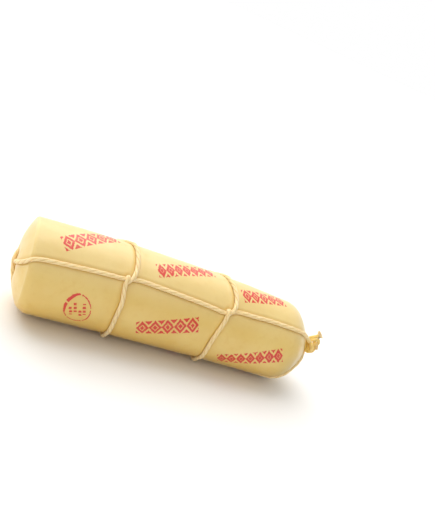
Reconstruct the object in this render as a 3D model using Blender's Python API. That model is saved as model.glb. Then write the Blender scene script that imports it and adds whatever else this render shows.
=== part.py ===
# Provolone cheese: a waxed log tied with string, lying on its two rings of string.
import bpy
import bmesh
from math import cos, exp, hypot, pi, radians, sin, tan
from mathutils import Vector

mm = 0.001

# The cheese lies along X with its blunt end at -X.
bodyLength = 429.0 * mm
bluntRadius = 61.8 * mm
middleRadius = 61.2 * mm
narrowRadius = 55.6 * mm
rimCorner = 4.8 * mm         # edge of the blunt end
rimTurn = radians(49)        # where that edge gives way to the wall's own rounding,
softCorner = 26.5 * mm       # which is widest underneath and gone at the top
roundCorner = 31.6 * mm      # shoulder of the narrow end
bluntSlope = radians(28.5)   # how steeply each end falls away where its edge begins
narrowSlope = radians(45.5)
bluntDimple = 7.0 * mm       # the string pulls the middle of each end in
narrowDimple = 3.5 * mm
bluntDimpleWidth = 19.0 * mm
narrowDimpleWidth = 13.0 * mm
bluntLean = radians(4.2)     # the blunt end leans out at its top
sideBow = 4.9 * mm           # the middle stands this far behind the ends
archBow = 2.8 * mm           # and this far above them

# The string, and how high its middle runs over the cheese.
stringRadius = 3.0 * mm
grooveGap = 0.35 * mm
lay = 1.35                   # lifts in mm: pressed into the cheese,
under = -0.3                 # under another string,
over = 6.35                  # over another string;
lowLay = 0.0                 # the weight presses the line underneath further in,
deepUnder = -2.5
deepOver = 4.0
capLay = -2.2                # and a string is pulled into the blunt end and its edge
flatCut = 0.9 * mm           # depth of the flats that the rings rest on
ringStations = (132.3 * mm, 271.0 * mm)   # where the rings touch the table

# The knot at the narrow end: four string ends in a bundle, and a tie wound round them.
knotSide = -1.5 * mm
knotHeight = 6.0 * mm
knotLean = radians(22)
knotTwist = radians(35)
bundleSpread = 4.65 * mm
endReach = 27.0 * mm
tieRadius = 11.1 * mm
tiePitch = 6.8 * mm
tieTurns = 1.6
tieStart = 9.6 * mm
tieStartAngle = radians(-120)

# The origin is under the middle of the whole part.
originX = 226.3 * mm
originY = 4.2 * mm

bodySides = 40
zoneRows = (3, 4, 9, 5, 3)  # blunt end, its edge, wall, shoulder, narrow end
longStep = 22.0 * mm         # between the points of the strings' routes
ringStep = 11.0 * mm

# Routes of string: (station in mm, angle in degrees, lift in mm). A station is the distance
# along the wall from the blunt edge, negative on the blunt end. An angle is 0 at the front,
# 90 at the top, -90 underneath and 180 at the back.
frontLine = [
    (-40, 23, lay), (-24, 26, lay), (-11, 29.5, 1.0), (0, 31.8, 0.2), (9, 33, 1.0),
    (22, 34.7, lay), (75, 37.1, lay), (108, 38.2, 1.1), (119, 38.6, under),
    (127.5, 39.4, under), (136, 40.8, under), (147, 41.7, 1.1), (165, 41, lay),
    (202, 39.3, lay), (232, 38, lay), (257, 36.5, 1.1), (268, 35.7, under), (276, 36.2, under),
    (283, 38.8, under), (290, 41.4, under), (300, 42.4, 1.1), (318, 42.9, lay),
    (342, 44.6, lay), (367, 45.2, lay), (392, 45.5, lay), (414, 46, lay), (437, 46.8, lay),
    (450, 48, lay), (463.4, 50, lay),
]

# The start and the end of each ring, side by side over the front line.
leftRingStart = [
    (127.6, 47.1, 0.2), (127.4, 44.9, 2.8), (127.2, 42.2, 5.5), (126.9, 39.3, over),
    (126.4, 35.7, 5.4), (126.2, 32.1, 3.2), (126.8, 27.5, lay), (129.2, 12.6, lay),
    (129.1, 2.7, lay), (129.0, -9.3, lay), (130.0, -22.5, lay), (131.0, -37.3, lay),
    (131.5, -51, lay),
]
leftRingEnd = [
    (121.8, -238, lay), (125.2, -247.5, lay), (131.2, -255, lay), (134.3, -262, lay),
    (135.9, -273, lay), (137.1, -287.5, lay), (137.3, -299, lay), (136.6, -306.8, lay),
    (135.6, -312, 3.1), (134.6, -316, 5.6), (133.8, -319.8, over), (133.1, -323.2, 5.6),
    (132.8, -326.4, 3.2), (132.7, -329, 0.6),
]
rightRingStart = [
    (276.4, 44.8, 0.2), (276.3, 42.6, 2.8), (276.2, 39.9, 5.6), (275.9, 37, over),
    (275.6, 33.5, 5.4), (275.2, 30, 3.2), (273.9, 22.5, lay), (269.4, 8, lay),
    (267.3, -4, lay), (267.2, -13, lay), (268.7, -27.6, lay), (270.3, -41.5, lay),
]
rightRingEnd = [
    (272.8, -239, lay), (275.8, -249, lay), (279.5, -260.5, lay), (282.3, -275.6, lay),
    (284.7, -287, lay), (286.6, -299, lay), (286.6, -306.5, lay), (285.6, -311.6, 3.5),
    (284.5, -315.8, 6.1), (283.3, -319.8, 6.8), (282.4, -323.5, 5.8), (281.9, -326.8, 3.2),
    (281.5, -329.5, 0.6),
]


def clearScene():
    for item in list(bpy.data.objects):
        bpy.data.objects.remove(item, do_unlink=True)


def wallRadius(station):
    """Radius of the cheese along its wall: widest at the blunt end."""
    t = station / (bodyLength - 14 * mm)
    blunt = bluntRadius * (1 - t) * (1 - 2 * t)
    middle = middleRadius * 4 * t * (1 - t)
    narrow = narrowRadius * t * (2 * t - 1)
    return blunt + middle + narrow


wallLength = bodyLength - 14 * mm
shoulder = wallLength - roundCorner
narrowEdge = wallRadius(shoulder)


def cornerAt(angle):
    return softCorner + (rimCorner - softCorner) * (0.5 + 0.5 * sin(angle))


def endProfile(distance, edge, corner, rim, slope, dimple, width):
    """Depth and radius on a domed end, by distance from its edge: inward is negative.

    The edge itself turns with radius rim, and then with radius corner into the wall.
    """
    start = edge - rim * (sin(rimTurn) - sin(slope)) - corner * (1 - sin(rimTurn))
    rise = start * tan(slope) / 2
    if distance < -corner:
        radius = max(0.0, start * (distance + edge) / (edge - corner))
        return rise * (radius / start) ** 2 + dimple * exp(-(radius / width) ** 2), radius
    turn = slope + (pi / 2 - slope) * (min(distance, corner) + corner) / (2 * corner)
    first, second = min(turn, rimTurn), max(turn, rimTurn)
    depth = rise + rim * (cos(slope) - cos(first)) + corner * (cos(rimTurn) - cos(second))
    return depth, (start + rim * (sin(first) - sin(slope))
                   + corner * (sin(second) - sin(rimTurn)))


def profile(station, angle):
    """How far along and how far out the cheese's skin is."""
    corner = cornerAt(angle)
    blunt = (wallRadius(corner), corner, rimCorner, bluntSlope, bluntDimple, bluntDimpleWidth)
    narrow = (narrowEdge, roundCorner, roundCorner, narrowSlope, narrowDimple,
              narrowDimpleWidth)
    lean = bluntLean * sin(angle)
    if station < corner:
        along, out = endProfile(station, *blunt)
        return along - lean * out, out
    if station > shoulder:
        along, out = endProfile(wallLength - station, *narrow)
        return bodyLength - along, out
    depth, out = endProfile(corner, *blunt)
    first = depth - lean * out
    last = bodyLength - endProfile(roundCorner, *narrow)[0]
    return first + (last - first) * (station - corner) / (shoulder - corner), wallRadius(station)


def bow(along):
    return 1 - (2 * along / bodyLength - 1) ** 2


def axisHeight(along):
    """Height of the cheese's middle, so that both rings touch the table."""
    places = [profile(station, -pi / 2) for station in ringStations]
    heights = [out + lay * mm + stringRadius - flatCut - archBow * bow(x) for x, out in places]
    t = (along - places[0][0]) / (places[1][0] - places[0][0])
    return heights[0] + (heights[1] - heights[0]) * t + archBow * bow(along)


def skinPoint(station, angle, lift=0.0):
    """A point over the cheese's skin, lifted straight off it."""
    step = 0.2 * mm
    along, out = profile(station, angle)
    before = profile(station - step, angle)
    after = profile(station + step, angle)
    alongStep = after[0] - before[0]
    outStep = after[1] - before[1]
    size = hypot(alongStep, outStep)
    x = along - lift * outStep / size
    radius = out + lift * alongStep / size
    y = sideBow * bow(along) - originY - radius * cos(angle)
    return Vector((x - originX, y, axisHeight(along) + radius * sin(angle)))


def zoneStation(u, angle):
    """Station for u from 0 to 5, one whole number for each zone of the body."""
    corner = cornerAt(angle)
    bluntEdge = wallRadius(corner)
    limits = (-bluntEdge, -corner, corner, shoulder, wallLength + roundCorner,
              wallLength + narrowEdge)
    zone = min(int(u), 4)
    return limits[zone] + (limits[zone + 1] - limits[zone]) * (u - zone)


def material(name, colour, roughness):
    item = bpy.data.materials.new(name)
    item.use_nodes = True
    shader = item.node_tree.nodes["Principled BSDF"]
    shader.inputs["Base Color"].default_value = (*colour, 1)
    shader.inputs["Roughness"].default_value = roughness
    shader.inputs["Metallic"].default_value = 0
    return item


def addObject(name, mesh, finish):
    item = bpy.data.objects.new(name, mesh)
    bpy.context.scene.collection.objects.link(item)
    mesh.materials.clear()
    mesh.materials.append(finish)
    return item


def cheeseMesh():
    """A grid wrapped into the log: columns run round it, rows run from end to end."""
    rows = []
    for zone, count in enumerate(zoneRows):
        rows += [zone + k / count for k in range(count)]
    rows.append(len(zoneRows))
    build = bmesh.new()
    bmesh.ops.create_grid(build, x_segments=bodySides, y_segments=len(rows) - 1, size=0.5)
    for vertex in build.verts:
        angle = 2 * pi * (vertex.co.x + 0.5)
        row = round((vertex.co.y + 0.5) * (len(rows) - 1))
        vertex.co = skinPoint(zoneStation(rows[row], angle), angle)
    bmesh.ops.remove_doubles(build, verts=build.verts, dist=0.001 * mm)
    bmesh.ops.recalc_face_normals(build, faces=build.faces)
    mesh = bpy.data.meshes.new("cheese")
    build.to_mesh(mesh)
    build.free()
    return mesh


def smoothRoute(points, step):
    """A Catmull-Rom curve through the route's points, with a point about every step."""
    ends = [2 * points[0] - points[1], *points, 2 * points[-1] - points[-2]]
    route = []
    for a, b, c, d in zip(ends, ends[1:], ends[2:], ends[3:]):
        count = max(1, round((c - b).length / step))
        for k in range(count):
            t = k / count
            route.append(0.5 * (2 * b + (c - a) * t + (2 * a - 5 * b + 4 * c - d) * t ** 2
                                + (3 * b - a - 3 * c + d) * t ** 3))
    route.append(points[-1])
    return route


def tubeMesh(name, route, radius):
    """A tube along the route, as a mesh with closed ends."""
    curve = bpy.data.curves.new(name, "CURVE")
    curve.dimensions = "3D"
    curve.bevel_depth = radius
    curve.bevel_resolution = 2
    curve.use_fill_caps = True
    spline = curve.splines.new("POLY")
    spline.points.add(len(route) - 1)
    for place, point in zip(spline.points, route):
        place.co = (*point, 1)
    carrier = bpy.data.objects.new(name, curve)
    bpy.context.scene.collection.objects.link(carrier)
    shape = carrier.evaluated_get(bpy.context.evaluated_depsgraph_get())
    mesh = bpy.data.meshes.new_from_object(shape)
    mesh.name = name
    bpy.data.objects.remove(carrier)
    bpy.data.curves.remove(curve)
    build = bmesh.new()
    build.from_mesh(mesh)
    bmesh.ops.remove_doubles(build, verts=build.verts, dist=0.001 * mm)
    bmesh.ops.recalc_face_normals(build, faces=build.faces)
    build.to_mesh(mesh)
    build.free()
    return mesh


def skinRoute(points):
    return [skinPoint(s * mm, radians(a), lift * mm) for s, a, lift in points]


def plainLine(angle, crossings, arrival, cap=0.3, flat=lay, dip=under):
    """A straight line of string along the log, dipping under each ring, to the knot."""
    points = [(-44, angle, cap + 0.4), (-26, angle, cap), (-12, angle, cap), (0, angle, cap),
              (12, angle, (cap + flat) / 2), (24, angle, flat)]
    for station in crossings:
        for offset, lift in ((-20, flat), (-10, (flat + dip) / 2), (0, dip),
                             (10, (flat + dip) / 2), (20, flat)):
            points.append((station + offset, angle, lift))
    for station, share in ((375, 0), (398, 0), (420, 0), (432, 0.05), (444, 0.15), (456, 0.45)):
        points.append((station, angle + (arrival[1] - angle) * share, flat))
    return points + [(*arrival, lay)]


def knotPoint(angle, reach, spread):
    """A point in the bundle: reach along the knot's axis, spread out from it."""
    end = bodyLength - narrowDimple
    root = Vector((end - originX, knotSide - originY, axisHeight(end) + knotHeight))
    forward = Vector((cos(knotLean), 0, sin(knotLean)))
    upward = Vector((-sin(knotLean), 0, cos(knotLean)))
    sideways = Vector((0, -1, 0))
    return root + forward * reach + (sideways * cos(angle) + upward * sin(angle)) * spread


def knotEnd(arrival, splay):
    """The end of a line of string: into the bundle, through the tie and a little beyond."""
    points = []
    for share, spread in ((0.0, 1.0), (0.4, 1.0), (0.75, 1.0), (1.0, splay)):
        angle = radians(arrival) - knotTwist * share
        reach = 8.5 * mm + (endReach - 8.5 * mm) * share
        points.append(knotPoint(angle, reach, bundleSpread * spread))
    return points


def longString(first, second, firstEnd, secondEnd, poleLift):
    """From the knot along one line, over the blunt end and back along the other line."""
    pole = skinPoint(-wallRadius(rimCorner), 0, poleLift * mm)
    return (knotEnd(*firstEnd)[::-1] + skinRoute(first[::-1]) + [pole]
            + skinRoute(second) + knotEnd(*secondEnd))


def overLine(angle, station, top):
    """A ring's points where it climbs over a line of string."""
    steps = ((12, lay), (7, lay + (top - lay) * 0.51), (3, lay + (top - lay) * 0.89), (0, top),
             (-3, lay + (top - lay) * 0.89), (-7, lay + (top - lay) * 0.51), (-12, lay))
    return [(station, angle + offset, lift) for offset, lift in steps]


def layBetween(last, following):
    """Points on the skin between two of a ring's points, about every 15 degrees."""
    count = round(abs(following[1] - last[1]) / 15)
    points = []
    for k in range(1, count):
        t = k / count
        points.append((last[0] + (following[0] - last[0]) * t,
                       last[1] + (following[1] - last[1]) * t, lay))
    return points


def ringString(start, crossings, end):
    """Round the log from the front line and back to it, over the other three lines."""
    points = list(start)
    for angle, station, top in crossings:
        points += layBetween(points[-1], (station, angle + 12))
        points += overLine(angle, station, top)
    return skinRoute(points + layBetween(points[-1], end[0]) + end)


def tieString():
    """The tie, a short coil round the bundle."""
    count = round(tieTurns * 16)
    points = []
    for k in range(count + 1):
        turns = tieTurns * k / count
        angle = tieStartAngle + 2 * pi * turns
        points.append(knotPoint(angle, tieStart + tiePitch * turns, tieRadius))
    return points


def flatten(mesh):
    """Cut off what is below the table, which leaves a small flat to rest on."""
    build = bmesh.new()
    build.from_mesh(mesh)
    cut = bmesh.ops.bisect_plane(build, geom=build.verts[:] + build.edges[:] + build.faces[:],
                                 plane_co=(0, 0, 0), plane_no=(0, 0, 1), clear_inner=True)
    rim = [item for item in cut["geom_cut"] if isinstance(item, bmesh.types.BMEdge)]
    bmesh.ops.contextual_create(build, geom=rim)
    bmesh.ops.recalc_face_normals(build, faces=build.faces)
    build.to_mesh(mesh)
    build.free()


def pressGroove(cheese, name, route):
    """Press a string's groove into the cheese, a little wider than the string."""
    first = route[0] + (route[0] - route[1]).normalized() * grooveGap
    last = route[-1] + (route[-1] - route[-2]).normalized() * grooveGap
    mesh = tubeMesh(name, [first, *route[1:-1], last], stringRadius + grooveGap)
    cutter = bpy.data.objects.new(name, mesh)
    bpy.context.scene.collection.objects.link(cutter)
    groove = cheese.modifiers.new(name, "BOOLEAN")
    groove.operation = "DIFFERENCE"
    groove.solver = "EXACT"
    groove.object = cutter
    shape = cheese.evaluated_get(bpy.context.evaluated_depsgraph_get())
    pressed = bpy.data.meshes.new_from_object(shape)
    cheese.modifiers.clear()
    cheese.data = pressed
    bpy.data.objects.remove(cutter)


def build():
    clearScene()
    skin = material("waxed_skin", (0.80, 0.60, 0.27), 0.4)
    twine = material("twine", (0.90, 0.76, 0.48), 0.85)
    cheese = addObject("cheese", cheeseMesh(), skin)

    lowLine = plainLine(-74, (132, 270.8), (467.9, -52), capLay, lowLay, deepUnder)
    backLine = plainLine(214, (129, 267), (468, 198))
    topLine = plainLine(142, (119, 264.5), (464.2, 125), capLay)
    longA = longString(frontLine, backLine, (35, 1.35), (215, 1.2), deepUnder)
    longB = longString(lowLine, topLine, (-58, 1.4), (128, 1.9), deepOver)
    leftCrossings = ((-74, 132, deepOver), (-146, 129, over), (-218, 119, over))
    rightCrossings = ((-74, 270.8, deepOver), (-146, 267, over), (-218, 264.5, over))
    ringLeft = ringString(leftRingStart, leftCrossings, leftRingEnd)
    ringRight = ringString(rightRingStart, rightCrossings, rightRingEnd)

    strings = {
        "string_long_a": smoothRoute(longA, longStep),
        "string_long_b": smoothRoute(longB, longStep),
        "string_ring_left": smoothRoute(ringLeft, ringStep),
        "string_ring_right": smoothRoute(ringRight, ringStep),
    }
    for name, route in strings.items():
        pressGroove(cheese, name + "_groove", route)
        mesh = tubeMesh(name, route, stringRadius)
        if "ring" in name:
            flatten(mesh)
        addObject(name, mesh, twine)
    addObject("string_tie", tubeMesh("string_tie", tieString(), stringRadius), twine)


build()
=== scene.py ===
# Looks of the provolone: waxed skin with stamped marks, twisted string, frayed knot.
import random
from math import atan2, cos, exp, hypot, pi, radians, sin, sqrt, tan

import bpy
from mathutils import Matrix, Vector, kdtree, noise


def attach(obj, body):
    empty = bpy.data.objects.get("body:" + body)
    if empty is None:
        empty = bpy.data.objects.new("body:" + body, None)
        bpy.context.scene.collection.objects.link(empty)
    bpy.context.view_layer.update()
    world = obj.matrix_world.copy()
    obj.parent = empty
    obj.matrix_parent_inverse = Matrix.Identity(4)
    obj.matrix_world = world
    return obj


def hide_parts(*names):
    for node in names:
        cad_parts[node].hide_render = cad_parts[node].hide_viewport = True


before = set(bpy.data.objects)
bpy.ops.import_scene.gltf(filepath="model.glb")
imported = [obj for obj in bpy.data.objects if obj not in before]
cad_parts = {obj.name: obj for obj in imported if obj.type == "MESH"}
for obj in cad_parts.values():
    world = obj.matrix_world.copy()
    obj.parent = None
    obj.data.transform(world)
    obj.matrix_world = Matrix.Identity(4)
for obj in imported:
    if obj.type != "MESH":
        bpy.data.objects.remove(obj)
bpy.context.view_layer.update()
bpy.ops.object.select_all(action="DESELECT")
mm = 0.001

# The form of the log, as the CAD has it: lengths in metres, angles in radians.
log = {
    "length": 429.0 * mm,
    "wallShort": 14 * mm,         # the stations of the wall end this much short of the length
    "bluntRadius": 61.8 * mm,
    "middleRadius": 61.2 * mm,
    "narrowRadius": 55.6 * mm,
    "rimCorner": 4.8 * mm,        # edge of the blunt end
    "rimTurn": radians(49),       # where that edge gives way to the wall's own rounding
    "softCorner": 26.5 * mm,      # that rounding underneath
    "roundCorner": 31.6 * mm,     # shoulder of the narrow end
    "bluntSlope": radians(28.5),
    "narrowSlope": radians(45.5),
    "bluntDimple": 7.0 * mm,
    "narrowDimple": 3.5 * mm,
    "bluntDimpleWidth": 19.0 * mm,
    "narrowDimpleWidth": 13.0 * mm,
    "bluntLean": radians(4.2),
    "sideBow": 4.9 * mm,
    "archBow": 2.8 * mm,
    "originX": 226.3 * mm,
    "originY": 4.2 * mm,
    "ringStations": (132.3 * mm, 271.0 * mm),
}

twine = {
    "radius": 2.85 * mm,
    "solidRadius": 3.0 * mm,      # of the plain solids, which set how high the log lies
    "lay": 1.35,                  # lifts over the skin in mm
    "under": -0.3,
    "over": 6.35,
    "deepOver": 4.0,
    "poleUnder": 0.3,             # where the two long strings cross on the blunt end
    "poleOver": 6.2,
    "capLay": -2.2,               # and a string is pulled into the blunt end and its edge
    "flatCut": 0.9 * mm,
    "step": 1.1 * mm,             # between the rounds of a string's mesh
    "sides": 24,
    "turnLength": 36 * mm,        # one full turn of the strands
    "valley": 0.15,               # depth between strands, as a share of the radius
    "tight": 0.05,                # the string is thinner where the knot squeezes it
    "knotFrom": 5 * mm,           # over the skin, where the squeezing starts
    "knotDepth": 10 * mm,
    "dull": (0.86, 0.63, 0.28),
    "bright": (0.98, 0.81, 0.48),
    # darker colours painted in the valleys between strands as shade
    "creaseShade": (0.70, 0.45, 0.14),
    # deeper golden colours of the tie
    "goldenDull": (0.72, 0.40, 0.03),      # of the tie
    "goldenBright": (0.93, 0.64, 0.13),
    "goldenCreaseShade": (0.46, 0.23, 0.01),
    "knotColour": (0.90, 0.62, 0.12),
    "knotShare": 0.65,
}


wallLength = log["length"] - log["wallShort"]


def wallRadius(station):
    t = station / wallLength
    blunt = log["bluntRadius"] * (1 - t) * (1 - 2 * t)
    middle = log["middleRadius"] * 4 * t * (1 - t)
    return blunt + middle + log["narrowRadius"] * t * (2 * t - 1)


shoulder = wallLength - log["roundCorner"]
narrowEdge = wallRadius(shoulder)


def cornerAt(angle):
    mix = 0.5 + 0.5 * sin(angle)
    return log["softCorner"] + (log["rimCorner"] - log["softCorner"]) * mix


def endProfile(distance, edge, corner, rim, slope, dimple, width):
    # depth and radius on a domed end: the edge turns with radius rim, then with radius corner
    middle = log["rimTurn"]
    start = edge - rim * (sin(middle) - sin(slope)) - corner * (1 - sin(middle))
    rise = start * tan(slope) / 2
    if distance < -corner:
        radius = max(0.0, start * (distance + edge) / (edge - corner))
        return rise * (radius / start) ** 2 + dimple * exp(-(radius / width) ** 2), radius
    turn = slope + (pi / 2 - slope) * (min(distance, corner) + corner) / (2 * corner)
    first, second = min(turn, middle), max(turn, middle)
    depth = rise + rim * (cos(slope) - cos(first)) + corner * (cos(middle) - cos(second))
    return depth, start + rim * (sin(first) - sin(slope)) + corner * (sin(second) - sin(middle))


def profile(station, angle):
    # how far along and how far out the skin is
    corner = cornerAt(angle)
    blunt = (wallRadius(corner), corner, log["rimCorner"], log["bluntSlope"],
             log["bluntDimple"], log["bluntDimpleWidth"])
    narrow = (narrowEdge, log["roundCorner"], log["roundCorner"], log["narrowSlope"],
              log["narrowDimple"], log["narrowDimpleWidth"])
    lean = log["bluntLean"] * sin(angle)
    if station < corner:
        along, out = endProfile(station, *blunt)
        return along - lean * out, out
    if station > shoulder:
        along, out = endProfile(wallLength - station, *narrow)
        return log["length"] - along, out
    depth, out = endProfile(corner, *blunt)
    first = depth - lean * out
    last = log["length"] - endProfile(log["roundCorner"], *narrow)[0]
    return first + (last - first) * (station - corner) / (shoulder - corner), wallRadius(station)


def bow(along):
    return 1 - (2 * along / log["length"] - 1) ** 2


ringFeet = [profile(station, -pi / 2) for station in log["ringStations"]]
footHeights = [out + twine["lay"] * mm + twine["solidRadius"] - twine["flatCut"]
               - log["archBow"] * bow(x)
               for x, out in ringFeet]


def axisHeight(along):
    t = (along - ringFeet[0][0]) / (ringFeet[1][0] - ringFeet[0][0])
    return footHeights[0] + (footHeights[1] - footHeights[0]) * t + log["archBow"] * bow(along)


def skinPoint(station, angle, lift=0.0):
    # a point over the skin, lifted straight off it
    step = 0.2 * mm
    along, out = profile(station, angle)
    before = profile(station - step, angle)
    after = profile(station + step, angle)
    size = hypot(after[0] - before[0], after[1] - before[1])
    x = along - lift * (after[1] - before[1]) / size
    radius = out + lift * (after[0] - before[0]) / size
    y = log["sideBow"] * bow(along) - log["originY"] - radius * cos(angle)
    return Vector((x - log["originX"], y, axisHeight(along) + radius * sin(angle)))


# Routes of the string: station in mm, angle in degrees, lift over the skin in mm. They start from
# the CAD's. The hitches, the lowest line, the front line's end, the crossing on the pole and the
# knot are this script's own.
lay, under, over = twine["lay"], twine["under"], twine["over"]
frontLine = [
    (-40, 23, lay), (-24, 26, lay), (-11, 29.5, 1.0), (0, 31.8, 0.2), (9, 33, 1.0),
    (22, 34.7, lay), (75, 37.1, lay), (108, 38.2, 1.1), (119, 38.6, under),
    (127.5, 39.4, under), (136, 40.8, under), (147, 41.7, 1.1), (165, 41, lay),
    (202, 39.3, lay), (232, 38, lay), (257, 36.5, 1.1), (268, 35.7, under), (276, 36.2, under),
    (283, 38.8, under), (290, 41.4, under), (300, 42.4, 1.1), (318, 42.9, lay),
    (342, 44.6, lay), (367, 45.2, lay), (392, 45.5, lay), (414, 46, lay), (437, 46.8, lay),
    (447, 47.4, 1.9),
]
# the line underneath is pulled right into the wax and comes up round the shoulder to the knot
lowLine = [
    (-44, -74, -1.8), (-26, -74, -2.2), (-12, -74, -2.2), (0, -73, -2.2), (12, -70, -1.8),
    (24, -68, -1.6), (70, -67, -1.6), (112, -67, -1.6), (132, -67, -2.5), (152, -67, -1.6),
    (200, -67, -1.6), (250.8, -67, -1.6), (270.8, -67, -2.5), (290.8, -66.6, -1.6),
    (320, -65.4, -1.6), (350, -64, -1.5), (375, -62, -1.2), (392, -58.5, -0.8),
    (405, -54, -0.4), (416, -49, 0), (426, -43.8, 0.2), (436, -38, 0.3), (446, -30.5, 0.5),
    (454, -22, 1.0), (460, -15, 1.8),
]

# Each ring is tied in a hitch on the front line: its end arrives from above and dives under its
# own beginning, which starts tight over the line. The last points turn back under the line.
leftRingStart = [
    (127.3, 41.4, -1.6), (127.3, 41.5, 1.4), (127.1, 40.8, 4.0), (126.9, 39.0, 5.5),
    (126.4, 35.7, 4.9), (126.2, 32.1, 2.9), (126.8, 27.5, lay), (129.2, 12.6, lay),
    (129.1, 2.7, lay), (129.0, -9.3, lay), (130.0, -22.5, lay), (131.0, -37.3, lay),
    (131.5, -51, lay),
]
leftRingEnd = [
    (122.2, -238, 0.3), (126.0, -247.5, 0.2), (131.4, -255, 0.7), (134.3, -262, lay),
    (135.9, -273, lay), (137.1, -287.5, lay), (137.4, -299, lay), (137.0, -306.4, 1.5),
    (136.2, -311.2, 3.2), (134.9, -315.8, 4.8), (132.8, -319.6, 5.0), (130.6, -322.2, 3.6),
    (129.0, -324.0, 1.0),
]
leftHitch = [(128.2, -323.4, -2.4), (127.8, -320.6, -4.2)]
rightRingStart = [
    (276.3, 39.2, -1.6), (276.3, 39.3, 1.4), (276.2, 38.6, 4.0), (276.0, 36.8, 5.5),
    (275.7, 33.5, 4.9), (275.2, 30, 2.9), (273.9, 22.5, lay), (269.4, 8, lay),
    (267.3, -4, lay), (267.2, -13, lay), (268.7, -27.6, lay), (270.3, -41.5, lay),
]
rightRingEnd = [
    (273.0, -239, 0.3), (276.2, -249, 0.3), (279.6, -260.5, 0.9), (282.3, -275.6, lay),
    (284.7, -287, lay), (286.6, -299, lay), (286.5, -306.2, 1.5), (285.7, -311.4, 3.2),
    (284.3, -316.0, 4.8), (282.1, -319.8, 5.0), (279.9, -322.6, 3.6), (278.3, -324.6, 1.0),
]
rightHitch = [(277.4, -324.6, -2.4), (276.8, -322.6, -4.2)]

knot = {
    "side": -1.5 * mm,
    "height": 6.0 * mm,
    "lean": radians(22),
    # places in mm from the knot's root: out along the log, towards the front, up
    "frontEnd": [(8.6, 12, 11), (11, 14, 6.8), (12.7, 14, 1), (13.4, 11, -5.5), (11.4, 6, -11),
                 (8.5, 0, -11), (8, -5, -8)],
    "topEnd": [(6, -5, 8.6), (9, 2.5, 10.4), (13.8, 4, 12), (19, 4, 12.6), (23, 4, 13.6),
               (27, 4, 15.4)],
    "backEnd": [(4, -7, -4), (8, -2, 3), (11, 4, 8), (14.5, 7, 9.4), (20, 7, 9.9),
                (24.2, 7, 7.6), (24.2, 7.5, 3.8), (20, 8, 1.9), (15, 7, 2.2), (11, 5, 2)],
    "lowEnd": [(5, 3.5, -9.5), (8.5, 6.5, -4.5), (12, 8, -1.8), (16.6, 8, -1.8), (21.5, 8, -1.5)],
    "tie": [(10.4, -6, 3), (7.5, -2, 6.5), (5.8, 2, 5.8), (5.7, 5, 1.8), (5.5, 6, -3.9),
            (8.4, 6, -9.3), (13.6, 6, -11), (18, 6, -9), (21.5, 2, -5.5), (22.5, -2.5, -1),
            (20, -4, 3), (14, -4, 5), (9.5, -1, 7.5), (9, 4, 7), (9.6, 8, 3.6), (8.9, 9, -0.7),
            (10.6, 9, -5), (15, 8, -7), (18.6, 6, -5.4), (19.5, 2, -3)],
}


def plainLine(angle, crossings, arrival, cap=0.3):
    points = [(-44, angle, cap + 0.4), (-26, angle, cap), (-12, angle, cap), (0, angle, cap),
              (12, angle, (cap + lay) / 2), (24, angle, lay)]
    for station in crossings:
        for offset, lift in ((-20, lay), (-10, (lay + under) / 2), (0, under),
                             (10, (lay + under) / 2), (20, lay)):
            points.append((station + offset, angle, lift))
    for station, share in ((375, 0), (398, 0), (420, 0), (432, 0.05), (444, 0.15), (456, 0.45)):
        points.append((station, angle + (arrival[1] - angle) * share, lay))
    return points + [(*arrival, lay)]


def overLine(angle, station, top):
    steps = ((12, lay), (7, lay + (top - lay) * 0.51), (3, lay + (top - lay) * 0.89), (0, top),
             (-3, lay + (top - lay) * 0.89), (-7, lay + (top - lay) * 0.51), (-12, lay))
    return [(station, angle + offset, lift) for offset, lift in steps]


def layBetween(last, following):
    count = round(abs(following[1] - last[1]) / 15)
    return [(last[0] + (following[0] - last[0]) * k / count,
             last[1] + (following[1] - last[1]) * k / count, lay) for k in range(1, count)]


def lifted(point, lift):
    # a point that also carries its lift over the skin, as a fourth number
    return Vector((*point, lift))


def skinRoute(points):
    return [lifted(skinPoint(s * mm, radians(a), lift * mm), lift * mm) for s, a, lift in points]


def knotPlaces(name):
    # the knot's own axes: out along the log and rising a little, towards the front, up
    end = log["length"] - log["narrowDimple"]
    root = Vector((end - log["originX"], knot["side"] - log["originY"],
                   axisHeight(end) + knot["height"]))
    axes = (Vector((cos(knot["lean"]), 0, sin(knot["lean"]))), Vector((0, -1, 0)),
            Vector((-sin(knot["lean"]), 0, cos(knot["lean"]))))
    return [lifted(root + sum((axis * part * mm for axis, part in zip(axes, parts)), Vector()),
                   20 * mm) for parts in knot[name]]


def longString(first, second, firstEnd, secondEnd, poleLift):
    pole = lifted(skinPoint(-wallRadius(log["rimCorner"]), 0, poleLift * mm), poleLift * mm)
    return (knotPlaces(firstEnd)[::-1] + skinRoute(first[::-1]) + [pole]
            + skinRoute(second) + knotPlaces(secondEnd))


def ringString(start, crossings, end, hitch):
    points = list(start)
    for angle, station, top in crossings:
        points += layBetween(points[-1], (station, angle + 12))
        points += overLine(angle, station, top)
    return skinRoute(points + layBetween(points[-1], end[0]) + end + hitch)


def smoothRoute(points, step, closed=False):
    # a Catmull-Rom curve through the points, with a point about every step
    if closed:
        ends = [points[-1], *points, points[0], points[1]]
    else:
        ends = [2 * points[0] - points[1], *points, 2 * points[-1] - points[-2]]
    route = []
    for a, b, c, d in zip(ends, ends[1:], ends[2:], ends[3:]):
        count = max(1, round((c - b).length / step))
        for k in range(count):
            t = k / count
            route.append(0.5 * (2 * b + (c - a) * t + (2 * a - 5 * b + 4 * c - d) * t ** 2
                                + (3 * b - a - 3 * c + d) * t ** 3))
    return route if closed else route + [points[-1]]


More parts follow.
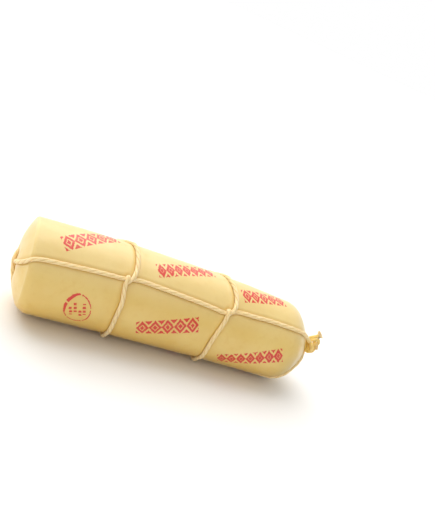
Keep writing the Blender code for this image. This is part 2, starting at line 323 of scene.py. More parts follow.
backLine = plainLine(214, (129, 267), (468, 198))
topLine = plainLine(142, (119, 264.5), (464.2, 125), twine["capLay"])
longA = longString(frontLine, backLine, "frontEnd", "backEnd", twine["poleUnder"])
longB = longString(lowLine, topLine, "lowEnd", "topEnd", twine["poleOver"])
leftCrossings = ((-67, 132, twine["deepOver"]), (-146, 129, over), (-218, 119, over))
rightCrossings = ((-67, 270.8, twine["deepOver"]), (-146, 267, over), (-218, 264.5, over))
ringLeft = ringString(leftRingStart, leftCrossings, leftRingEnd, leftHitch)
ringRight = ringString(rightRingStart, rightCrossings, rightRingEnd, rightHitch)
routes = {
    "string_long_a": smoothRoute(longA, twine["step"]),
    "string_long_b": smoothRoute(longB, twine["step"]),
    "string_ring_left": smoothRoute(ringLeft, twine["step"], closed=True),
    "string_ring_right": smoothRoute(ringRight, twine["step"], closed=True),
    "string_tie": smoothRoute(knotPlaces("tie"), twine["step"]),
}
print("routes laid:", {name: len(route) for name, route in routes.items()})


# the camera's place and turn
camera = {
    "turn": radians(21.49),       # the log's front is seen from its blunt end's side
    "elevation": radians(20.0),
    "roll": radians(25.58),
    "distance": 0.9214,
    "aim": (0.0261, 0.0015, 0.14725),
    "lens": 47.08,
}


def makeCamera():
    ahead = Vector((sin(camera["turn"]) * cos(camera["elevation"]),
                    cos(camera["turn"]) * cos(camera["elevation"]), -sin(camera["elevation"])))
    level = Vector((cos(camera["turn"]), -sin(camera["turn"]), 0))
    above = level.cross(ahead)
    right = level * cos(camera["roll"]) + above * sin(camera["roll"])
    up = above * cos(camera["roll"]) - level * sin(camera["roll"])
    bpy.ops.object.camera_add(location=Vector(camera["aim"]) - ahead * camera["distance"])
    eye = bpy.context.active_object
    eye.name = "camera"
    eye.rotation_euler = Matrix((right, up, -ahead)).transposed().to_euler()
    eye.data.lens = camera["lens"]
    eye.data.sensor_width = 36
    eye.data.clip_start = 0.01
    eye.data.clip_end = 100
    bpy.context.scene.camera = eye


makeCamera()
print("camera placed")

# light and floor
studio = {
    "floorSize": 60.0,
    "floorColour": (0.88, 0.875, 0.86),
    "backdropColour": (1.0, 1.0, 1.0),    # what the camera sees past the floor
    "skyColour": (1.0, 0.98, 0.95),       # what lights the log: dim in front, bright behind
    "skyFront": 0.26,
    "skyBack": 1.15,
    "keyTowards": (-0.32, 0.60, 1.0),     # a wide lamp above and behind, to the left
    "keyStrength": 2.0,
    "keySpread": radians(74),
    "fillTowards": (-0.30, -0.60, 1.0),   # a wider one above the front
    "fillStrength": 1.10,
    "fillSpread": radians(95),
}


def plainMaterial(name):
    material = bpy.data.materials.new(name)
    material.use_nodes = True
    return material, material.node_tree, material.node_tree.nodes["Principled BSDF"]


def addSun(name, towards, strength, spread):
    bpy.ops.object.light_add(type="SUN", location=towards)
    lamp = bpy.context.active_object
    lamp.name = name
    lamp.data.energy = strength
    lamp.data.angle = spread
    lamp.rotation_euler = Vector(towards).to_track_quat("Z", "Y").to_euler()


def makeWorld():
    # the camera sees a plain white backdrop, and a softer sky lights the log
    world = bpy.data.worlds.new("studioWorld")
    world.use_nodes = True
    tree = world.node_tree
    sky = tree.nodes["Background"]
    sky.inputs["Color"].default_value = (*studio["skyColour"], 1)
    direction = tree.nodes.new("ShaderNodeTexCoord")
    split = tree.nodes.new("ShaderNodeSeparateXYZ")
    ramp = tree.nodes.new("ShaderNodeMapRange")
    ramp.interpolation_type = "SMOOTHSTEP"
    for key, number in (("From Min", -0.5), ("From Max", 0.9), ("To Min", studio["skyFront"]),
                        ("To Max", studio["skyBack"])):
        ramp.inputs[key].default_value = number
    tree.links.new(direction.outputs["Generated"], split.inputs[0])
    tree.links.new(split.outputs["Y"], ramp.inputs["Value"])
    tree.links.new(ramp.outputs["Result"], sky.inputs["Strength"])
    backdrop = tree.nodes.new("ShaderNodeBackground")
    backdrop.inputs["Color"].default_value = (*studio["backdropColour"], 1)
    seen = tree.nodes.new("ShaderNodeLightPath")
    mixed = tree.nodes.new("ShaderNodeMixShader")
    tree.links.new(seen.outputs["Is Camera Ray"], mixed.inputs[0])
    tree.links.new(sky.outputs[0], mixed.inputs[1])
    tree.links.new(backdrop.outputs[0], mixed.inputs[2])
    tree.links.new(mixed.outputs[0], tree.nodes["World Output"].inputs["Surface"])
    bpy.context.scene.world = world


def makeFloor():
    bpy.ops.mesh.primitive_plane_add(size=studio["floorSize"], location=(0, 0, 0))
    floor = bpy.context.active_object
    floor.name = "studioFloor"
    material, tree, shader = plainMaterial("paleFloor")
    shader.inputs["Base Color"].default_value = (*studio["floorColour"], 1)
    shader.inputs["Roughness"].default_value = 0.9
    floor.data.materials.append(material)


addSun("keyLight", studio["keyTowards"], studio["keyStrength"], studio["keySpread"])
addSun("fillLight", studio["fillTowards"], studio["fillStrength"], studio["fillSpread"])
makeWorld()
makeFloor()
bpy.context.scene.view_settings.view_transform = "Standard"
print("studio lit")


# small helpers for node trees
def addNode(tree, kind, **settings):
    node = tree.nodes.new(kind)
    for key, value in settings.items():
        setattr(node, key, value)
    return node


def plug(tree, value, socket):
    if isinstance(value, bpy.types.NodeSocket):
        tree.links.new(value, socket)
    else:
        socket.default_value = value


def maths(tree, operation, *values, clamp=False):
    node = addNode(tree, "ShaderNodeMath", operation=operation, use_clamp=clamp)
    for value, socket in zip(values, node.inputs):
        plug(tree, value, socket)
    return node.outputs[0]


def noiseAt(tree, vector, scale, detail=3.0, roughness=0.5, distortion=0.0):
    node = addNode(tree, "ShaderNodeTexNoise")
    plug(tree, vector, node.inputs["Vector"])
    for key, value in (("Scale", scale), ("Detail", detail), ("Roughness", roughness),
                       ("Distortion", distortion)):
        node.inputs[key].default_value = value
    return node.outputs["Fac"]


def between(tree, value, low, high, toLow=0.0, toHigh=1.0):
    node = addNode(tree, "ShaderNodeMapRange", interpolation_type="SMOOTHSTEP")
    for key, number in zip(("Value", "From Min", "From Max", "To Min", "To Max"),
                           (value, low, high, toLow, toHigh)):
        plug(tree, number, node.inputs[key])
    return node.outputs["Result"]


def blendColour(tree, share, first, second, mode="MIX"):
    node = addNode(tree, "ShaderNodeMix", data_type="RGBA", blend_type=mode)
    plug(tree, share, node.inputs[0])
    for value, socket in ((first, node.inputs[6]), (second, node.inputs[7])):
        plug(tree, value if isinstance(value, bpy.types.NodeSocket) else (*value, 1), socket)
    return node.outputs[2]


def bump(tree, height, strength, distance, normal=None):
    node = addNode(tree, "ShaderNodeBump")
    plug(tree, height, node.inputs["Height"])
    node.inputs["Strength"].default_value = strength
    node.inputs["Distance"].default_value = distance
    if normal:
        plug(tree, normal, node.inputs["Normal"])
    return node.outputs["Normal"]


# the waxed skin
skin = {
    "columns": 296,
    "grooveWidth": 2.9 * mm,
    "grooveCap": 3.2 * mm,
    "bulge": 0.35 * mm,           # the cheese swells a little beside a string
    "bulgeAt": 7.5 * mm,
    "bulgeWidth": 3 * mm,
    "grooveExtra": 0.15 * mm,     # a groove reaches this far below its string
    "grooveLifts": (-1.5 * mm, 5 * mm),   # strings within these lifts press the wax
    "reach": 16 * mm,             # how far off a string is felt
    "calmWidth": 9 * mm,          # the wax is less uneven beside a string
    "nearWidth": 6 * mm,
    "unevenness": 0.45 * mm,
    "waveScale": 22,
    "dents": 0.10 * mm,
    "dentScale": 95,
    "rimWidth": radians(11),
    "mergeDistance": 0.000008,
    "seamAngle": -130,            # where the first and last columns meet
    "crowding": 0.8,
    "crowdWidth": 9,
    "lineAngles": (39, 142, 214, -74),   # columns are closer together near these
    "colour": (0.775, 0.53, 0.135),
    "paleColour": (0.81, 0.585, 0.18),
    # a darker wax tone, used for random variation and as painted shade beside the strings
    "deepToneAndShadeColour": (0.70, 0.42, 0.07),
    # painted shade for the underside
    "underShadeColour": (0.72, 0.41, 0.02),
    # a pale colour painted along the blunt end's edge as a highlight
    "rimHighlightColour": (0.88, 0.70, 0.34),
    # painted shade low on the narrow end
    "narrowShadeColour": (0.50, 0.34, 0.075),
    # a pale colour painted on top and on the shoulder as a highlight
    "topHighlightColour": (0.82, 0.68, 0.37),
    "roughness": 0.36,
    "coat": 0.5,
    "coatRoughness": 0.36,
    "glow": 0.10,
    "glowDepth": 0.003,
}

ink = {
    "colour": (0.66, 0.004, 0.0),
    "strength": 0.97,
    # station and arc of the middle in mm, slope in degrees, length and height in mm, marks
    "rows": [
        (72.3, 86.8, 33.4, 84.6, 22.3, 5), (209.5, 84.2, 22.9, 94.3, 21.2, 7),
        (334.0, 85.0, 17.6, 76.6, 22.8, 5), (200.9, -3.4, 21.1, 85.1, 21.7, 5),
        (334.9, -15.7, 26.5, 96.3, 23.0, 7), (75.0, 177.0, 24.0, 94.0, 22.0, 7),
        (205.0, 174.0, 20.0, 85.0, 22.0, 5), (333.0, 176.0, 22.0, 94.0, 22.0, 7),
        (78.0, -103.0, 22.0, 84.0, 22.0, 5), (206.0, -100.0, 20.0, 94.0, 22.0, 7),
        (330.0, -102.0, 24.0, 84.0, 22.0, 5),
    ],
    "stroke": 3.0,                # mm
    "spread": 0.98,               # below 1, neighbouring lozenges run into each other
    "stamp": (78.5, -13.9, 18.6, 17.5, 23.5),     # half its width and height come last
    "dashColumns": ((-8.5, -9, 6), (-2.5, -4, 13), (3.5, -12, -1), (9.0, -9, 9)),
    "dashPitch": 6.0,
}


def columnAngles():
    # angles of the columns, closer together where the long strings run
    def crowding(degrees):
        near = [(degrees - middle + 180) % 360 - 180 for middle in skin["lineAngles"]]
        return 1 + skin["crowding"] * sum(exp(-(gap / skin["crowdWidth"]) ** 2) for gap in near)
    fine = 3600
    total = [0.0]
    for k in range(fine):
        total.append(total[-1] + crowding(skin["seamAngle"] + 360 * (k + 0.5) / fine))
    angles, at = [], 0
    for column in range(skin["columns"] + 1):
        goal = total[-1] * column / skin["columns"]
        while at < fine - 1 and total[at + 1] < goal:
            at += 1
        share = (goal - total[at]) / (total[at + 1] - total[at])
        angles.append(radians(skin["seamAngle"] + 360 * (at + min(1.0, share)) / fine))
    return angles


def evenly(first, last, count):
    return [first + (last - first) * k / count for k in range(count)]


def rowStations(angle):
    corner = cornerAt(angle)
    stations = evenly(-wallRadius(corner), -corner, 34) + evenly(-corner, corner, 14)
    stations += evenly(corner, 32 * mm, 12)
    for first, last, count in ((32, 112, 40), (112, 142, 30), (142, 255, 56), (255, 287, 32)):
        stations += evenly(first * mm, last * mm, count)
    stations += evenly(287 * mm, shoulder, 43) + evenly(shoulder, wallLength + narrowEdge, 60)
    return stations + [wallLength + narrowEdge]


def stringPoints():
    # every point of the strings near the skin, with the depth of the groove under it
    points = []
    lowest, highest = skin["grooveLifts"]
    for route in routes.values():
        for point in route:
            lift = point[3]
            depth = min(skin["grooveCap"], twine["radius"] - lift + skin["grooveExtra"])
            if lowest < lift < highest and depth > 0:
                points.append((Vector(point[:3]), lift, depth))
    return points


def pressedSkin(place, outward, tree, points):
    # the skin pressed in under the strings, swollen beside them and uneven elsewhere
    depth, nearest = 0.0, 1.0
    for co, index, distance in tree.find_range(place, skin["reach"]):
        lift, groove = points[index][1], points[index][2]
        aside = sqrt(max(0.0, distance ** 2 - lift ** 2))
        depth = max(depth, groove * exp(-(aside / skin["grooveWidth"]) ** 2))
        nearest = min(nearest, aside)
    bulge = skin["bulge"] * exp(-((nearest - skin["bulgeAt"]) / skin["bulgeWidth"]) ** 2)
    free = 1 - exp(-(nearest / skin["calmWidth"]) ** 2)
    wave = (noise.noise(place * skin["waveScale"]) * skin["unevenness"]
            + noise.noise(place * skin["dentScale"]) * skin["dents"])
    # closeness to a string, kept for the painted shade beside it
    close = exp(-(nearest / skin["nearWidth"]) ** 2)
    return place + outward * (bulge - depth + wave * free), close


def rimHighlightShare(station, angle):
    # 1 on the blunt end's edge, 0 away from it: where the painted highlight along that edge lies
    corner = cornerAt(angle)
    share = (station + corner) / (2 * corner)
    turn = log["bluntSlope"] + (pi / 2 - log["bluntSlope"]) * share
    return exp(-((turn - 0.5 * (log["bluntSlope"] + log["rimTurn"])) / skin["rimWidth"]) ** 2)


def makeSkin():
    angles = columnAngles()
    stations = [rowStations(angle) for angle in angles]
    columns, rows = skin["columns"], len(stations[0]) - 1
    bpy.ops.mesh.primitive_grid_add(x_subdivisions=columns, y_subdivisions=rows, size=1)
    piece = bpy.context.active_object
    piece.name = piece.data.name = "waxedSkin"
    mesh = piece.data
    points = stringPoints()
    tree = kdtree.KDTree(len(points))
    for index, (place, lift, groove) in enumerate(points):
        tree.insert(place, index)
    tree.balance()
    closeness, rims = [], []
    for vertex in mesh.vertices:
        column, row = round((vertex.co.x + 0.5) * columns), round((vertex.co.y + 0.5) * rows)
        angle = angles[column % columns]
        station = stations[column % columns][row]
        place = skinPoint(station, angle)
        outward = (skinPoint(station, angle, mm) - place).normalized()
        vertex.co, close = pressedSkin(place, outward, tree, points)
        closeness.append(close)
        rims.append(rimHighlightShare(station, angle))
    # closeness to the strings, which sets the painted shade beside them
    near = mesh.attributes.new("stringNear", "FLOAT", "POINT")
    near.data.foreach_set("value", closeness)
    rim = mesh.attributes.new("rimHighlightShare", "FLOAT", "POINT")
    rim.data.foreach_set("value", rims)
    layer = mesh.uv_layers[0]
    layer.name = "skinPlace"
    for corner in layer.data:
        column, row = round(corner.uv.x * columns), round(corner.uv.y * rows)
        corner.uv = (stations[column][row], angles[column] * log["middleRadius"])
    bpy.ops.object.mode_set(mode="EDIT")
    bpy.ops.mesh.select_all(action="SELECT")
    bpy.ops.mesh.remove_doubles(threshold=skin["mergeDistance"])
    bpy.ops.mesh.normals_make_consistent(inside=False)
    bpy.ops.object.mode_set(mode="OBJECT")
    bpy.ops.object.shade_smooth()
    bpy.ops.object.location_clear()
    return piece


def bandMarks():
    # a group that draws one stamped row: a chain of outlined lozenges, each with a solid heart
    group = bpy.data.node_groups.new("stampedBand", "ShaderNodeTree")
    for name, kind in (("Place", "NodeSocketVector"), ("Half", "NodeSocketVector"),
                       ("Cell", "NodeSocketFloat"), ("Wear", "NodeSocketFloat")):
        group.interface.new_socket(name, in_out="INPUT", socket_type=kind)
    group.interface.new_socket("Ink", in_out="OUTPUT", socket_type="NodeSocketFloat")
    entry, leaving = addNode(group, "NodeGroupInput"), addNode(group, "NodeGroupOutput")
    at = addNode(group, "ShaderNodeSeparateXYZ")
    plug(group, entry.outputs["Place"], at.inputs[0])
    half = addNode(group, "ShaderNodeSeparateXYZ")
    plug(group, entry.outputs["Half"], half.inputs[0])
    cell, wear = entry.outputs["Cell"], entry.outputs["Wear"]
    x, high = at.outputs[0], maths(group, "ABSOLUTE", at.outputs[1])
    # share of the way from the middle of this cell to its lozenge's edge
    cells = maths(group, "DIVIDE", maths(group, "ADD", x, half.outputs[0]), cell)
    aside = maths(group, "ABSOLUTE", maths(group, "SUBTRACT", maths(group, "FRACT", cells), 0.5))
    reach = maths(group, "ADD", maths(group, "MULTIPLY", aside, 2 * ink["spread"]),
                  maths(group, "DIVIDE", high, half.outputs[1]))
    inward = maths(group, "MULTIPLY", maths(group, "SUBTRACT", 1, reach),
                   maths(group, "MULTIPLY", cell, 0.40))
    inward = maths(group, "ADD", inward, wear)
    outline = maths(group, "MULTIPLY", between(group, inward, -0.5, 0.3),
                    between(group, inward, ink["stroke"] - 0.3, ink["stroke"] + 0.5, 1, 0))
    deeper = maths(group, "SUBTRACT", inward, maths(group, "MULTIPLY", cell, 0.25))
    heart = between(group, deeper, -0.3, 0.4)
    # solid wedges fill the corners between the lozenges
    above = maths(group, "ADD", maths(group, "SUBTRACT", high, half.outputs[1]), wear)
    outside = between(group, maths(group, "ADD", inward, 2.6), -0.4, 0.3, 1, 0)
    wedge = maths(group, "MULTIPLY", outside, between(group, above, -0.6, 0.2, 1, 0))
    beyond = maths(group, "SUBTRACT", maths(group, "ABSOLUTE", x), half.outputs[0])
    within = between(group, maths(group, "ADD", beyond, wear), -0.5, 0.2, 1, 0)
    marks = maths(group, "MAXIMUM", maths(group, "MAXIMUM", outline, heart), wedge)
    plug(group, maths(group, "MULTIPLY", marks, within), leaving.inputs["Ink"])
    return group


def turnedPlace(tree, uv, station, arc, slope):
    # millimetres along and across a stamped mark, from its middle
    mapping = addNode(tree, "ShaderNodeMapping", vector_type="TEXTURE")
    plug(tree, uv, mapping.inputs["Vector"])
    mapping.inputs["Location"].default_value = (station * mm, arc * mm, 0)
    mapping.inputs["Rotation"].default_value = (0, 0, radians(slope))
    mapping.inputs["Scale"].default_value = (mm, mm, 1)
    return mapping.outputs[0]


def inkMask(tree, uv, wear):
    band = bandMarks()
    total = None
    for station, arc, slope, length, height, marks in ink["rows"]:
        marked = addNode(tree, "ShaderNodeGroup", node_tree=band)
        plug(tree, turnedPlace(tree, uv, station, arc, slope), marked.inputs["Place"])
        marked.inputs["Half"].default_value = (length / 2, height / 2, 0)
        marked.inputs["Cell"].default_value = length / marks
        plug(tree, wear, marked.inputs["Wear"])
        row = marked.outputs["Ink"]
        total = maths(tree, "MAXIMUM", total, row) if total else row
    return maths(tree, "MAXIMUM", total, ovalStamp(tree, uv, wear))


def ovalStamp(tree, uv, wear):
    # a thin oval, thick at one shoulder and broken in places, with short dashes inside
    station, arc, slope, halfWidth, halfHeight = ink["stamp"]
    split = addNode(tree, "ShaderNodeSeparateXYZ")
    plug(tree, turnedPlace(tree, uv, station, arc, slope), split.inputs[0])
    x, y = split.outputs[0], split.outputs[1]
    across, along = maths(tree, "DIVIDE", x, halfWidth), maths(tree, "DIVIDE", y, halfHeight)
    reach = maths(tree, "SQRT", maths(tree, "ADD", maths(tree, "MULTIPLY", across, across),
                                      maths(tree, "MULTIPLY", along, along)))
    inward = maths(tree, "MULTIPLY", maths(tree, "SUBTRACT", 1, reach), 20)
    inward = maths(tree, "ADD", inward, wear)
    shoulder = maths(tree, "SUBTRACT", along, maths(tree, "MULTIPLY", across, 1.1))
    width = between(tree, shoulder, 0.75, 1.15, 1.5, 4.2)
    ring = maths(tree, "MULTIPLY", between(tree, inward, -0.4, 0.2),
                 between(tree, maths(tree, "SUBTRACT", inward, width), -0.3, 0.3, 1, 0))
    turn = maths(tree, "ARCTAN2", along, across)
    gaps = maths(tree, "ABSOLUTE", maths(tree, "SINE", maths(tree, "MULTIPLY", turn, 2.5)))
    ring = maths(tree, "MULTIPLY", ring, between(tree, gaps, 0.10, 0.17))
    marks = ring
    for column, low, high in ink["dashColumns"]:
        beside = maths(tree, "ABSOLUTE", maths(tree, "SUBTRACT", x, column))
        dashes = maths(tree, "FRACT", maths(tree, "DIVIDE", y, ink["dashPitch"]))
        dash = maths(tree, "MULTIPLY",
                     between(tree, maths(tree, "SUBTRACT", beside, wear), 1.6, 2.3, 1, 0),
                     between(tree, maths(tree, "ABSOLUTE", maths(tree, "SUBTRACT", dashes, 0.5)),
                             0.27, 0.36, 1, 0))
        run = maths(tree, "MULTIPLY", maths(tree, "GREATER_THAN", y, low),
                    maths(tree, "LESS_THAN", y, high))
        marks = maths(tree, "MAXIMUM", marks, maths(tree, "MULTIPLY", dash, run))
    return marks


def waxedMaterial():
    material, tree, shader = plainMaterial("waxedSkin")
    place = addNode(tree, "ShaderNodeTexCoord").outputs["Object"]
    uv = addNode(tree, "ShaderNodeUVMap", uv_map="skinPlace").outputs["UV"]
    near = addNode(tree, "ShaderNodeAttribute", attribute_name="stringNear").outputs["Fac"]
    broad = noiseAt(tree, place, 14, 2)
    fine = noiseAt(tree, place, 120, 4, 0.6)
    colour = blendColour(tree, between(tree, broad, 0.35, 0.68), skin["colour"], skin["paleColour"])
    colour = blendColour(tree, between(tree, fine, 0.45, 0.75, 0.0, 0.25), colour, skin["deepToneAndShadeColour"])
    # painted shade: the colour is darkened beside the strings, where they shade their grooves
    colour = blendColour(tree, maths(tree, "MULTIPLY", near, 0.35), colour, skin["deepToneAndShadeColour"])
    rim = addNode(tree, "ShaderNodeAttribute", attribute_name="rimHighlightShare").outputs["Fac"]
    # painted highlight: a pale band along the blunt end's edge
    colour = blendColour(tree, maths(tree, "MULTIPLY", rim, 0.55), colour, skin["rimHighlightColour"])
    # painted shade: deeper amber towards the bottom, where the log rests
    low = addNode(tree, "ShaderNodeSeparateXYZ")
    plug(tree, place, low.inputs[0])
    colour = blendColour(tree, between(tree, low.outputs[2], 0.002, 0.048, 0.9, 0), colour,
                         skin["underShadeColour"])
    # painted shade: darker, duller colour low on the narrow end
    narrow = between(tree, low.outputs[0], 0.140, 0.185)
    dull = maths(tree, "MULTIPLY", narrow, between(tree, low.outputs[2], 0.045, 0.085, 0.9, 0))
    colour = blendColour(tree, dull, colour, skin["narrowShadeColour"])
    # painted highlight: a faint pale wash on top, stronger on the shoulder
    topHighlight = maths(tree, "ADD", between(tree, low.outputs[2], 0.072, 0.105, 0, 0.32),
                  maths(tree, "MULTIPLY", narrow, between(tree, low.outputs[2], 0.075, 0.10, 0, 0.45)))
    colour = blendColour(tree, topHighlight, colour, skin["topHighlightColour"])
    ragged = maths(tree, "SUBTRACT", noiseAt(tree, place, 330, 3, 0.6), 0.5)
    wear = maths(tree, "MULTIPLY", ragged, 3.2)
    patchy = between(tree, noiseAt(tree, place, 150, 3, 0.6), 0.30, 0.48, 0.86, 1.0)
    inked = maths(tree, "MULTIPLY", inkMask(tree, uv, wear),
                  maths(tree, "MULTIPLY", patchy, ink["strength"]))
    colour = blendColour(tree, inked, colour, ink["colour"])
    plug(tree, colour, shader.inputs["Base Color"])
    rough = between(tree, noiseAt(tree, place, 60, 4, 0.6), 0.3, 0.7, skin["roughness"] - 0.07,
                    skin["roughness"] + 0.1)
    plug(tree, rough, shader.inputs["Roughness"])
    shader.inputs["Subsurface Weight"].default_value = skin["glow"]
    shader.inputs["Subsurface Radius"].default_value = (1.0, 0.6, 0.25)
    shader.inputs["Subsurface Scale"].default_value = skin["glowDepth"]
    shader.inputs["Coat Weight"].default_value = skin["coat"]
    shader.inputs["Coat Roughness"].default_value = skin["coatRoughness"]
    # faint creases in the wax run round the log, over soft waves and a fine grain
    stretched = addNode(tree, "ShaderNodeMapping")
    plug(tree, uv, stretched.inputs["Vector"])
    stretched.inputs["Scale"].default_value = (95, 9, 1)
    creases = bump(tree, noiseAt(tree, stretched.outputs[0], 1.0, 3, 0.55), 0.25, 0.0012)
    waves = bump(tree, noiseAt(tree, place, 60, 3, 0.5), 0.3, 0.0014, creases)
    grain = bump(tree, noiseAt(tree, place, 620, 3, 0.6), 0.2, 0.0003, waves)
    plug(tree, grain, shader.inputs["Normal"])
    return material


waxedSkin = makeSkin()
waxedSkin.data.materials.clear()
waxedSkin.data.materials.append(waxedMaterial())
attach(waxedSkin, "root")
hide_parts("cheese")
print("waxed skin:", len(waxedSkin.data.polygons), "faces")


# the twine
def twineSection(share):
    # radius of the three strands' outline, a valley between each two, and the share towards that
    # valley, which later sets the painted shade in it
    toValley = abs(((share * 3) % 1) - 0.5) * 2
    return 1 - twine["valley"] * toValley ** 2.2, toValley


def twistedString(name, route):
    # a tube that runs back to its own start; the long strings and the tie do so inside the knot
    places = [Vector(point[:3]) for point in route]
    count = len(places)
    tangents = []
    for k in range(count):
        tangents.append((places[(k + 1) % count] - places[k - 1]).normalized())
    lengths = [0.0]
    for first, second in zip(places, places[1:]):
        lengths.append(lengths[-1] + (second - first).length)
    total = lengths[-1] + (places[0] - places[-1]).length
    normal = tangents[0].orthogonal().normalized()
    normals = [normal]
    for k in [*range(1, count), 0]:
        turn = tangents[k - 1].rotation_difference(tangents[k])
        normal = turn @ normal
        normal = (normal - tangents[k] * normal.dot(tangents[k])).normalized()
        normals.append(normal)
    # a whole number of turns, so that the strands meet where the tube closes
    last, first = normals.pop(), normals[0]
    drift = atan2(last.cross(first).dot(tangents[0]), last.dot(first))
    turns = round(total / twine["turnLength"])
    rate = (-2 * pi * turns + drift) / total
    sides = twine["sides"]
    vertices, laid, valleys, shares = [], [], [], []
    for place, tangent, normal, along, point in zip(places, tangents, normals, lengths, route):
        across = tangent.cross(normal)
        squeezed = min(1.0, max(0.0, (point[3] - twine["knotFrom"]) / twine["knotDepth"]))
        radius = twine["radius"] * (1 - twine["tight"] * squeezed)
        for side in range(sides):
            size, toValley = twineSection(side / sides)
            angle = 2 * pi * side / sides + rate * along
            vertex = place + (normal * cos(angle) + across * sin(angle)) * radius * size
            vertices.append(Vector((vertex.x, vertex.y, max(0.0, vertex.z))))
            fibre = 2 * pi * side / sides - rate * along * 0.55
            laid.append((cos(fibre), sin(fibre), along / twine["radius"]))
            valleys.append(toValley)
            shares.append(squeezed)
    faces = []
    for k in range(count):
        one, two = k * sides, ((k + 1) % count) * sides
        for side in range(sides):
            nextSide = (side + 1) % sides
            faces.append((one + side, one + nextSide, two + nextSide, two + side))
    mesh = bpy.data.meshes.new(name)
    mesh.from_pydata(vertices, [], faces)
    fibre = mesh.attributes.new("fibreLay", "FLOAT_VECTOR", "POINT")
    fibre.data.foreach_set("vector", [number for triple in laid for number in triple])
    valley = mesh.attributes.new("valley", "FLOAT", "POINT")
    valley.data.foreach_set("value", valleys)
    inKnot = mesh.attributes.new("inKnot", "FLOAT", "POINT")
    inKnot.data.foreach_set("value", shares)
    piece = bpy.data.objects.new(name, mesh)
    bpy.context.collection.objects.link(piece)
    bpy.context.view_layer.objects.active = piece
    piece.select_set(True)
    bpy.ops.object.shade_smooth()
    piece.select_set(False)
    return piece


def twineMaterial(name, dull, bright, creaseShade):
    material, tree, shader = plainMaterial(name)
    fibreLay = addNode(tree, "ShaderNodeAttribute", attribute_name="fibreLay").outputs["Vector"]
    valley = addNode(tree, "ShaderNodeAttribute", attribute_name="valley").outputs["Fac"]
    place = addNode(tree, "ShaderNodeTexCoord").outputs["Object"]
    stretch = addNode(tree, "ShaderNodeMapping")
    plug(tree, fibreLay, stretch.inputs["Vector"])
    stretch.inputs["Scale"].default_value = (9, 9, 1.1)
    fibres = noiseAt(tree, stretch.outputs[0], 1.0, 4, 0.6)
    colour = blendColour(tree, between(tree, fibres, 0.3, 0.7), dull, bright)
    # painted shade: darker in the valleys between strands
    colour = blendColour(tree, between(tree, valley, 0.55, 1.0, 0, 0.75), colour, creaseShade)
    colour = blendColour(tree, between(tree, noiseAt(tree, place, 30, 2), 0.4, 0.7, 0, 0.4),
                         colour, dull)
    # a deeper golden colour where the strings run into the knot
    inKnot = addNode(tree, "ShaderNodeAttribute", attribute_name="inKnot").outputs["Fac"]
    colour = blendColour(tree, maths(tree, "MULTIPLY", inKnot, twine["knotShare"]), colour,
                         twine["knotColour"])
    plug(tree, colour, shader.inputs["Base Color"])
    shader.inputs["Roughness"].default_value = 0.8
    shader.inputs["Subsurface Weight"].default_value = 0.2
    shader.inputs["Subsurface Radius"].default_value = (1.0, 0.7, 0.4)
    shader.inputs["Subsurface Scale"].default_value = 0.0015
    shader.inputs["Sheen Weight"].default_value = 0.3
    shader.inputs["Sheen Roughness"].default_value = 0.5
    plug(tree, bump(tree, fibres, 0.5, 0.0005), shader.inputs["Normal"])
    return material


twistedTwine = twineMaterial("twistedTwine", twine["dull"], twine["bright"], twine["creaseShade"])
goldenTwine = twineMaterial("goldenTwine", twine["goldenDull"], twine["goldenBright"],
                           twine["goldenCreaseShade"])
names = {"string_long_a": "frontBackString", "string_long_b": "topUnderString",
         "string_ring_left": "leftRingString", "string_ring_right": "rightRingString",
         "string_tie": "knotTie"}
bpy.ops.object.select_all(action="DESELECT")
for node, name in names.items():
    piece = twistedString(name, routes[node])
    piece.data.materials.append(goldenTwine if node == "string_tie" else twistedTwine)
    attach(piece, "root")
    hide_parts(node)
    print(name + ":", len(piece.data.polygons), "faces")

# loose fibres: a frayed tuft on each free end, and fine hairs along the string
fibres = {
    "seed": 11,
    "perEnd": 190,
    "tuftLength": 5.6 * mm,
    "flare": 0.5,
    "tuftSpread": 1.75,           # of the tuft's root, over the string's radius
    "tuftFill": 0.85,
    "tuftRoot": 2.0 * mm,         # its fibres start this far back from the end
    "tuftRadius": 0.32 * mm,
    "dull": (0.86, 0.64, 0.30),
    "bright": (1.0, 0.86, 0.56),
    "hairs": 420,
    "hairLength": 4.2 * mm,
    "hairRadius": 0.07 * mm,
}


def addFibre(vertices, faces, start, direction, sag, length, radius):
    # a thin tapered thread of four rounds of three points, bending as it goes
    direction = direction.normalized()
    aside = direction.orthogonal().normalized()
    across = direction.cross(aside)
    first = len(vertices)
    for k in range(4):
        share = k / 4
        middle = start + direction * length * share + sag * share ** 2 * length
        for corner in range(3):
            angle = 2 * pi * corner / 3
            vertex = middle + (aside * cos(angle) + across * sin(angle)) * radius * (1 - 0.6 * share)
            vertices.append(Vector((vertex.x, vertex.y, max(0.0, vertex.z))))
    vertices.append(start + direction * length + sag * length)
    tip = len(vertices) - 1
    vertices[tip].z = max(0.0, vertices[tip].z)
    faces.append((first + 2, first + 1, first))
    for k in range(3):
        for corner in range(3):
            one, two = first + 3 * k + corner, first + 3 * k + (corner + 1) % 3
            faces.append((one, two, two + 3, one + 3))
    for corner in range(3):
        faces.append((first + 9 + corner, first + 9 + (corner + 1) % 3, tip))


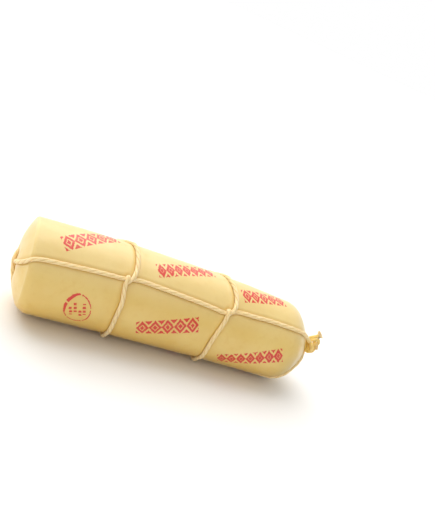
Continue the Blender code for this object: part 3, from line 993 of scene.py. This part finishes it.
def looseFibres():
    chance = random.Random(fibres["seed"])
    vertices, faces = [], []
    for node in ("string_long_a", "string_long_b"):
        route = [Vector(point[:3]) for point in routes[node]]
        for end, before in ((route[0], route[3]), (route[-1], route[-4])):
            ahead = (end - before).normalized()
            aside = ahead.orthogonal().normalized()
            across = ahead.cross(aside)
            for k in range(fibres["perEnd"]):
                angle, out = chance.uniform(0, 2 * pi), sqrt(chance.random())
                outward = aside * cos(angle) + across * sin(angle)
                start = (end - ahead * fibres["tuftRoot"] + outward * out * twine["radius"]
                         * fibres["tuftSpread"] * fibres["tuftFill"])
                stray = Vector([chance.uniform(-0.25, 0.25) for axis in range(3)])
                lean = outward * out * fibres["flare"] + stray
                length = fibres["tuftLength"] * chance.uniform(0.55, 1.0)
                sag = outward * chance.uniform(-0.1, 0.35)
                addFibre(vertices, faces, start, ahead + lean, sag, length,
                         fibres["tuftRadius"])
    for k in range(fibres["hairs"]):
        node = chance.choice([name for name in routes if name != "string_tie"])
        route = routes[node]
        index = chance.randrange(2, len(route) - 2)
        here = Vector(route[index][:3])
        ahead = (Vector(route[index + 1][:3]) - here).normalized()
        aside = ahead.orthogonal().normalized()
        across = ahead.cross(aside)
        angle = chance.uniform(0, 2 * pi)
        outward = aside * cos(angle) + across * sin(angle)
        start = here + outward * twine["radius"] * 0.8
        direction = ahead * chance.choice((-1, 1)) * chance.uniform(0.6, 1.6) + outward
        addFibre(vertices, faces, start, direction, -outward * chance.uniform(0, 0.5),
                 fibres["hairLength"] * chance.uniform(0.4, 1.0), fibres["hairRadius"])
    mesh = bpy.data.meshes.new("looseFibres")
    mesh.from_pydata(vertices, [], faces)
    piece = bpy.data.objects.new("looseFibres", mesh)
    bpy.context.collection.objects.link(piece)
    return piece


def fibreMaterial():
    material, tree, shader = plainMaterial("looseFibre")
    place = addNode(tree, "ShaderNodeTexCoord").outputs["Object"]
    tone = noiseAt(tree, place, 600, 2)
    colour = blendColour(tree, between(tree, tone, 0.35, 0.65), fibres["dull"], fibres["bright"])
    plug(tree, colour, shader.inputs["Base Color"])
    shader.inputs["Roughness"].default_value = 0.75
    shader.inputs["Sheen Weight"].default_value = 0.3
    return material


fuzz = looseFibres()
fuzz.data.materials.append(fibreMaterial())
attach(fuzz, "root")
print("loose fibres:", len(fuzz.data.polygons), "faces")
